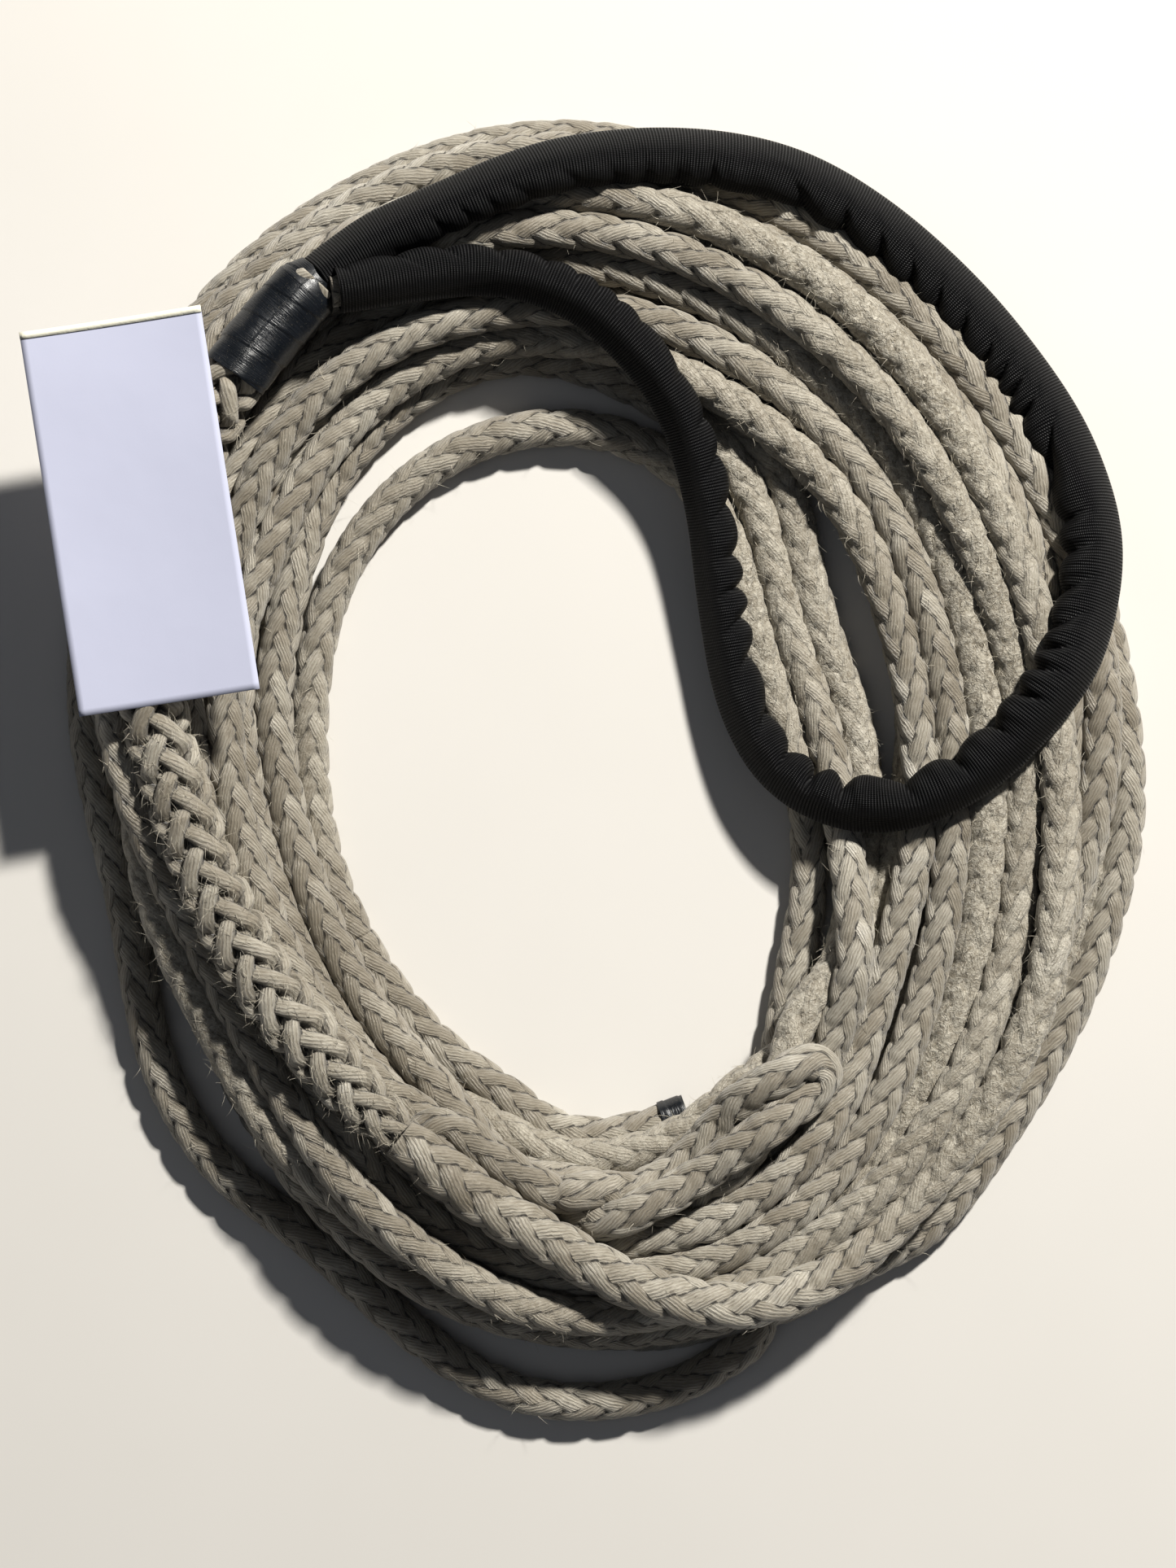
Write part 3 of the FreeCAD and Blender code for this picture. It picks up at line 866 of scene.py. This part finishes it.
def make_sleeve(centre):
    """Tubular webbing over the eye: a seam ridge along the outside, gathers along the inside."""
    look = webbing_material()
    step = 0.0012
    line = even(centre, step)[2:-2]
    count, sides = len(line), 64
    tangent = np.gradient(line, axis=0)
    tangent /= np.linalg.norm(tangent, axis=1)[:, None]
    outward = np.cross(tangent, np.array([0.0, 0.0, 1.0]))
    outward *= -1 / np.linalg.norm(outward, axis=1)[:, None]
    upward = np.cross(outward, tangent)
    upward *= np.sign(upward[:, 2:3])
    run = np.arange(count) * step
    share = run / run[-1]
    width = np.interp(share, [0, 0.04, 0.10, 0.30, 0.48, 0.60, 0.72, 0.88, 0.96, 1.0],
                      [0.025, 0.028, 0.028, 0.030, 0.031, 0.027, 0.024, 0.025, 0.027, 0.025])
    width = width + 0.0010 * drift(count, step, 0.04, 34)
    depth = 0.0245 * (0.032 / width) ** 0.4
    angle = np.arange(sides) * 2 * math.pi / sides
    inner_side = (np.clip(0.25 - np.cos(angle), 0, 1.25) / 1.25)[None, :]
    strength = np.interp(share, [0, 0.15, 0.3, 0.4, 0.75, 0.9, 1.0], [0.25, 0.4, 0.8, 1.1, 1.1, 0.7, 0.3])
    strength = strength * (0.75 + 0.45 * drift(count, step, 0.06, 32))
    phase = run / 0.024 + 1.0 * drift(count, step, 0.06, 31)
    slant = 0.35 + 0.30 * drift(count, step, 0.05, 35)
    pillow = np.abs(np.sin(math.pi * (phase[:, None] + slant[:, None] * np.cos(angle)[None, :]))) ** 0.65
    small = np.sin(2 * math.pi * (2.7 * phase[:, None] + 0.5 * np.cos(angle)[None, :]))
    fold = (pillow - 0.60) * strength[:, None] * inner_side
    outer_side = np.clip(np.cos(angle), 0, 1)[None, :]
    ridge = np.exp(-(np.degrees(np.minimum(angle, 2 * math.pi - angle)) / 14) ** 2)[None, :]
    soft = drift(count, step, 0.035, 33)[:, None] * np.sin(angle + 0.5)[None, :]
    around_sine = np.sin(angle)[None, :]
    verts = []
    for wall in (0.0, WEBBING):
        across = (width[:, None] / 2 - wall) * np.cos(angle)[None, :]
        up = (depth[:, None] / 2 - wall) * np.sign(around_sine) * np.abs(around_sine) ** 1.15
        up = up * (1 - 0.35 * outer_side ** 1.5)
        across = across - 0.0078 * fold + 0.0012 * ridge * (wall == 0)
        up = up + 0.0072 * fold * np.sign(around_sine) * np.abs(around_sine) ** 0.5
        up = up + (0.0010 * small * strength[:, None] * inner_side + 0.0006 * soft) * np.abs(around_sine)
        verts.append(line[:, None, :] + across[..., None] * outward[:, None, :]
                     + up[..., None] * upward[:, None, :])
    verts = np.stack(verts)
    verts[..., 2] = np.maximum(verts[..., 2], 0.0)
    piece = new_mesh("sleeve_webbing", verts.reshape(-1, 3), [walled_tube_faces(count, sides)], look)
    around = angle / math.pi * (0.033 + 0.0245) * 1000
    # edge marks the folded edges, where the webbing gets paler ribs from wear and painted highlight
    edge = np.maximum(ridge[0], 0.5 * np.exp(-((np.degrees(angle) - 180) / 12) ** 2))
    cloth = np.stack(np.broadcast_arrays(around[None, :], run[:, None] * 1000, edge[None, :]), -1)
    keep_vectors(piece, "cloth", np.concatenate([cloth.reshape(-1, 3)] * 2))
    strips(piece, count, sides, 330)
    return run[-1], piece


def make_tape(name, line, radius, mouth, pitch, node, body, look, seed):
    """Tape wound in a helix along a line, each turn half over the one before. Over its last
    12 mm it draws in to a share, mouth, of its radius."""
    step = 0.0006
    line = even(line, step)
    count, sides = len(line), 72
    _, normal, side_way = frames(line)
    angle = np.arange(sides) * 2 * math.pi / sides
    run = np.arange(count) * step
    lap = (run[:, None] / pitch - angle[None, :] / (2 * math.pi)) % 1.0
    crease = drift(count, step, 0.006, seed)[:, None] * np.sin(3 * angle + seed)[None, :]
    sag = drift(count, step, 0.012, seed + 1)[:, None] * np.cos(6 * angle + 2)[None, :]
    reach = radius + 0.0005 * (1 - lap) + 0.00035 * crease + 0.028 * radius * sag
    reach = reach * np.interp(run, [0, run[-1] - 0.012, run[-1]], [1, 1, mouth])[:, None]
    verts = []
    for wall in (0.0, 0.0008):
        offset = (np.cos(angle) * (reach - wall))[..., None] * normal[:, None, :]
        offset = offset + (np.sin(angle) * (reach - wall))[..., None] * side_way[:, None, :]
        verts.append(line[:, None, :] + offset * np.array([LIE_WIDE, LIE_WIDE, LIE_LOW]))
    verts = np.stack(verts)
    verts[..., 2] = np.maximum(verts[..., 2], 0.0)
    piece = new_mesh(name, verts.reshape(-1, 3), [walled_tube_faces(count, sides)], look)
    around = angle * radius * 1000
    cloth = np.stack(np.broadcast_arrays(around[None, :], run[:, None] * 1000, lap), -1)
    cloth = np.concatenate([cloth.reshape(-1, 3)] * 2)
    keep_vectors(piece, "cloth", cloth)
    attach(piece, body)
    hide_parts(node)
    return piece


def card_ways():
    """The card's directions to its right and to its top."""
    turned = math.radians(CARD_TURN)
    return np.array([math.cos(turned), math.sin(turned)]), np.array([-math.sin(turned), math.cos(turned)])


def covered(points, tape_line):
    """Whether each point lies under the card or under the tape."""
    to_right, to_top = card_ways()
    from_card = points[:, :2] - CARD_MIDDLE
    card = ((np.abs(from_card @ to_right) < CARD[0] / 2 + CARD_MARGIN)
            & (np.abs(from_card @ to_top) < CARD[1] / 2 + CARD_MARGIN))
    tape = np.zeros(len(points), bool)
    for spot in tape_line[::3]:
        tape |= ((points - spot) ** 2).sum(1) < TAPE_MARGIN ** 2
    return card | tape


def make_gum(upper, lower):
    """Strip of gum on the card, between the two rows of points along its upper edge."""
    edge = np.concatenate([upper, lower]) + (0, 0, 0.0006)
    back = edge - (0, 0, 0.0005)
    half = len(edge) // 2
    a = np.arange(half - 1)
    ring = np.concatenate([np.arange(half), np.arange(2 * half - 1, half - 1, -1)])
    turned_ring = np.roll(ring, -1)
    faces = [np.stack([a + half, a + half + 1, a + 1, a], 1),
             np.stack([a, a + 1, a + half + 1, a + half], 1) + 2 * half,
             np.stack([ring, turned_ring, turned_ring + 2 * half, ring + 2 * half], 1)]
    gum = new_mesh("card_gum", np.vstack([edge, back]), [np.vstack(faces)], gum_material())
    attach(gum, "label")


def make_card(tops):
    """Blank paper card lying on the hank, a little curled, gum along its top edge."""
    (wide, tall, thick), middle = CARD, np.array(CARD_MIDDLE)
    to_right, to_top = card_ways()
    u, v = np.meshgrid(np.linspace(-0.5, 0.5, 29), np.linspace(-0.5, 0.5, 57))
    plan = middle + (u * wide)[..., None] * to_right + (v * tall)[..., None] * to_top
    flat = plan.reshape(-1, 2)
    rest = 0.0
    for start in range(0, len(tops), 4000):
        near = tops[start:start + 4000]
        near = near[(np.abs((near[:, :2] - middle) @ to_right) < wide / 2)
                    & (np.abs((near[:, :2] - middle) @ to_top) < tall / 2)]
        if len(near):
            rest = max(rest, near[:, 2].max())
    curl = 0.0030 * (2 * u) ** 2 * (0.6 + 0.4 * v) + 0.0016 * np.clip(-v - 0.2, 0, 1) * 6 * u
    height = rest + 0.0006 + curl + 0.0006 * np.sin(5 * v + 3 * u)
    height -= 0.0006 * (height - rest).min()
    rows, cols = u.shape
    top = np.concatenate([flat, height.reshape(-1, 1)], 1)
    low = top - np.array([0, 0, thick])
    index = np.arange(rows * cols).reshape(rows, cols)
    quads = np.stack([index[:-1, :-1], index[:-1, 1:], index[1:, 1:], index[1:, :-1]], -1).reshape(-1, 4)
    under = quads[:, ::-1] + rows * cols
    rim = np.concatenate([index[0, :-1], index[:-1, -1], index[-1, :0:-1], index[:0:-1, 0]])
    nxt = np.roll(rim, -1)
    wall = np.stack([rim, rim + rows * cols, nxt + rows * cols, nxt], 1)
    faces = np.vstack([quads, under, wall])
    card = new_mesh("card_paper", np.vstack([top, low]), [faces], paper_material())
    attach(card, "label")
    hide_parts("label_card")
    make_gum(top[index[-1]], top[index[-2]])


def make_floor():
    """Plain pale floor."""
    look = Nodes("plain_floor")
    grain = look.noise(look.where(), 3.0, 4.0, 0.6)
    colour = look.mix(grain, linear(206, 203, 197), linear(214, 211, 206))
    look.finish(Base_Color=colour, Roughness=0.85)
    verts = [(-6, -6, -0.0005), (6, -6, -0.0005), (6, 6, -0.0005), (-6, 6, -0.0005)]
    new_mesh("floor", verts, [np.array([[0, 1, 2, 3]])], look.material)


def make_camera():
    """Looks straight down on the hank."""
    data = bpy.data.cameras.new("camera")
    data.sensor_fit = "VERTICAL"
    data.sensor_height = 24.0
    data.lens = data.sensor_height * CAMERA_HEIGHT / PICTURE_HEIGHT
    data.clip_end = 50.0
    camera = bpy.data.objects.new("camera", data)
    camera.location = (0.0052, -0.0027, ROPE_LEVEL + CAMERA_HEIGHT)
    bpy.context.collection.objects.link(camera)
    bpy.context.scene.camera = camera


def make_lamp(name, spot, size, power, colour):
    """Square area lamp that shines at the middle of the hank."""
    data = bpy.data.lights.new(name, "AREA")
    data.shape = "SQUARE"
    data.size = size
    data.energy = power
    data.color = colour
    lamp = bpy.data.objects.new(name, data)
    lamp.location = spot
    lamp.rotation_euler = (-Vector(spot)).to_track_quat("-Z", "Y").to_euler()
    bpy.context.collection.objects.link(lamp)


def make_light():
    """Sun-like key from the upper right, and soft light from all round."""
    make_lamp("key", (1.85, 2.95, 2.85), 0.32, 425.0, (1.0, 0.97, 0.915))
    make_lamp("sky", (-1.2, -0.6, 2.6), 2.4, 3.0, (0.88, 0.93, 1.0))
    world = bpy.data.worlds.new("studio")
    world.use_nodes = True
    world.node_tree.nodes["Background"].inputs[0].default_value = (0.80, 0.86, 1.0, 1.0)
    world.node_tree.nodes["Background"].inputs[1].default_value = 0.07
    bpy.context.scene.world = world
    bpy.context.scene.view_settings.view_transform = "Standard"


def tops_of(*pieces):
    """All surface points of some pieces."""
    out = []
    for piece in pieces:
        points = np.empty(3 * len(piece.data.vertices))
        piece.data.vertices.foreach_get("co", points)
        out.append(points.reshape(-1, 3))
    return np.concatenate(out)


settled, mark, control, splice_mark, eye_mark = settled_rope()
course, cut, tail, coil, coil_step = make_wound_rope(settled, mark, control, splice_mark)
splice_line, splice_step, splice = make_splice(settled, mark, control, splice_mark, eye_mark)
eye_line, eye_rope = make_eye_rope(settled, mark, control, eye_mark)
sleeve_length, sleeve = make_sleeve(eye_line)
for piece in (eye_rope, sleeve):
    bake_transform(piece)
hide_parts("eye_rope")
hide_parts("chafe_sleeve")

tape_look = tape_material()
throat_rings = int(0.070 / splice_step)
onward = splice_line[-1] + np.linspace(0.1, 1, 8)[:, None] * (splice_line[-1] - splice_line[-6])
throat_tape = make_tape("throat_winding", np.vstack([splice_line[-throat_rings:], onward]), 0.0178, 0.70,
                        0.017, "throat_tape", "coil", tape_look, 2)
tip = course[0] - 0.0015 * (course[1] - course[0]) / np.linalg.norm(course[1] - course[0])
end_tape = make_tape("end_winding", np.vstack([tip, course[:8]]), 0.0108, 1.0, 0.009, "end_tape", "tail",
                     tape_look, 6)
make_card(tops_of(coil, splice))
make_fuzz([(coil, 0.88), (splice, 0.12)], splice_line[-throat_rings:], FIBRES, fibre_material(), 40)

make_floor()
make_camera()
make_light()
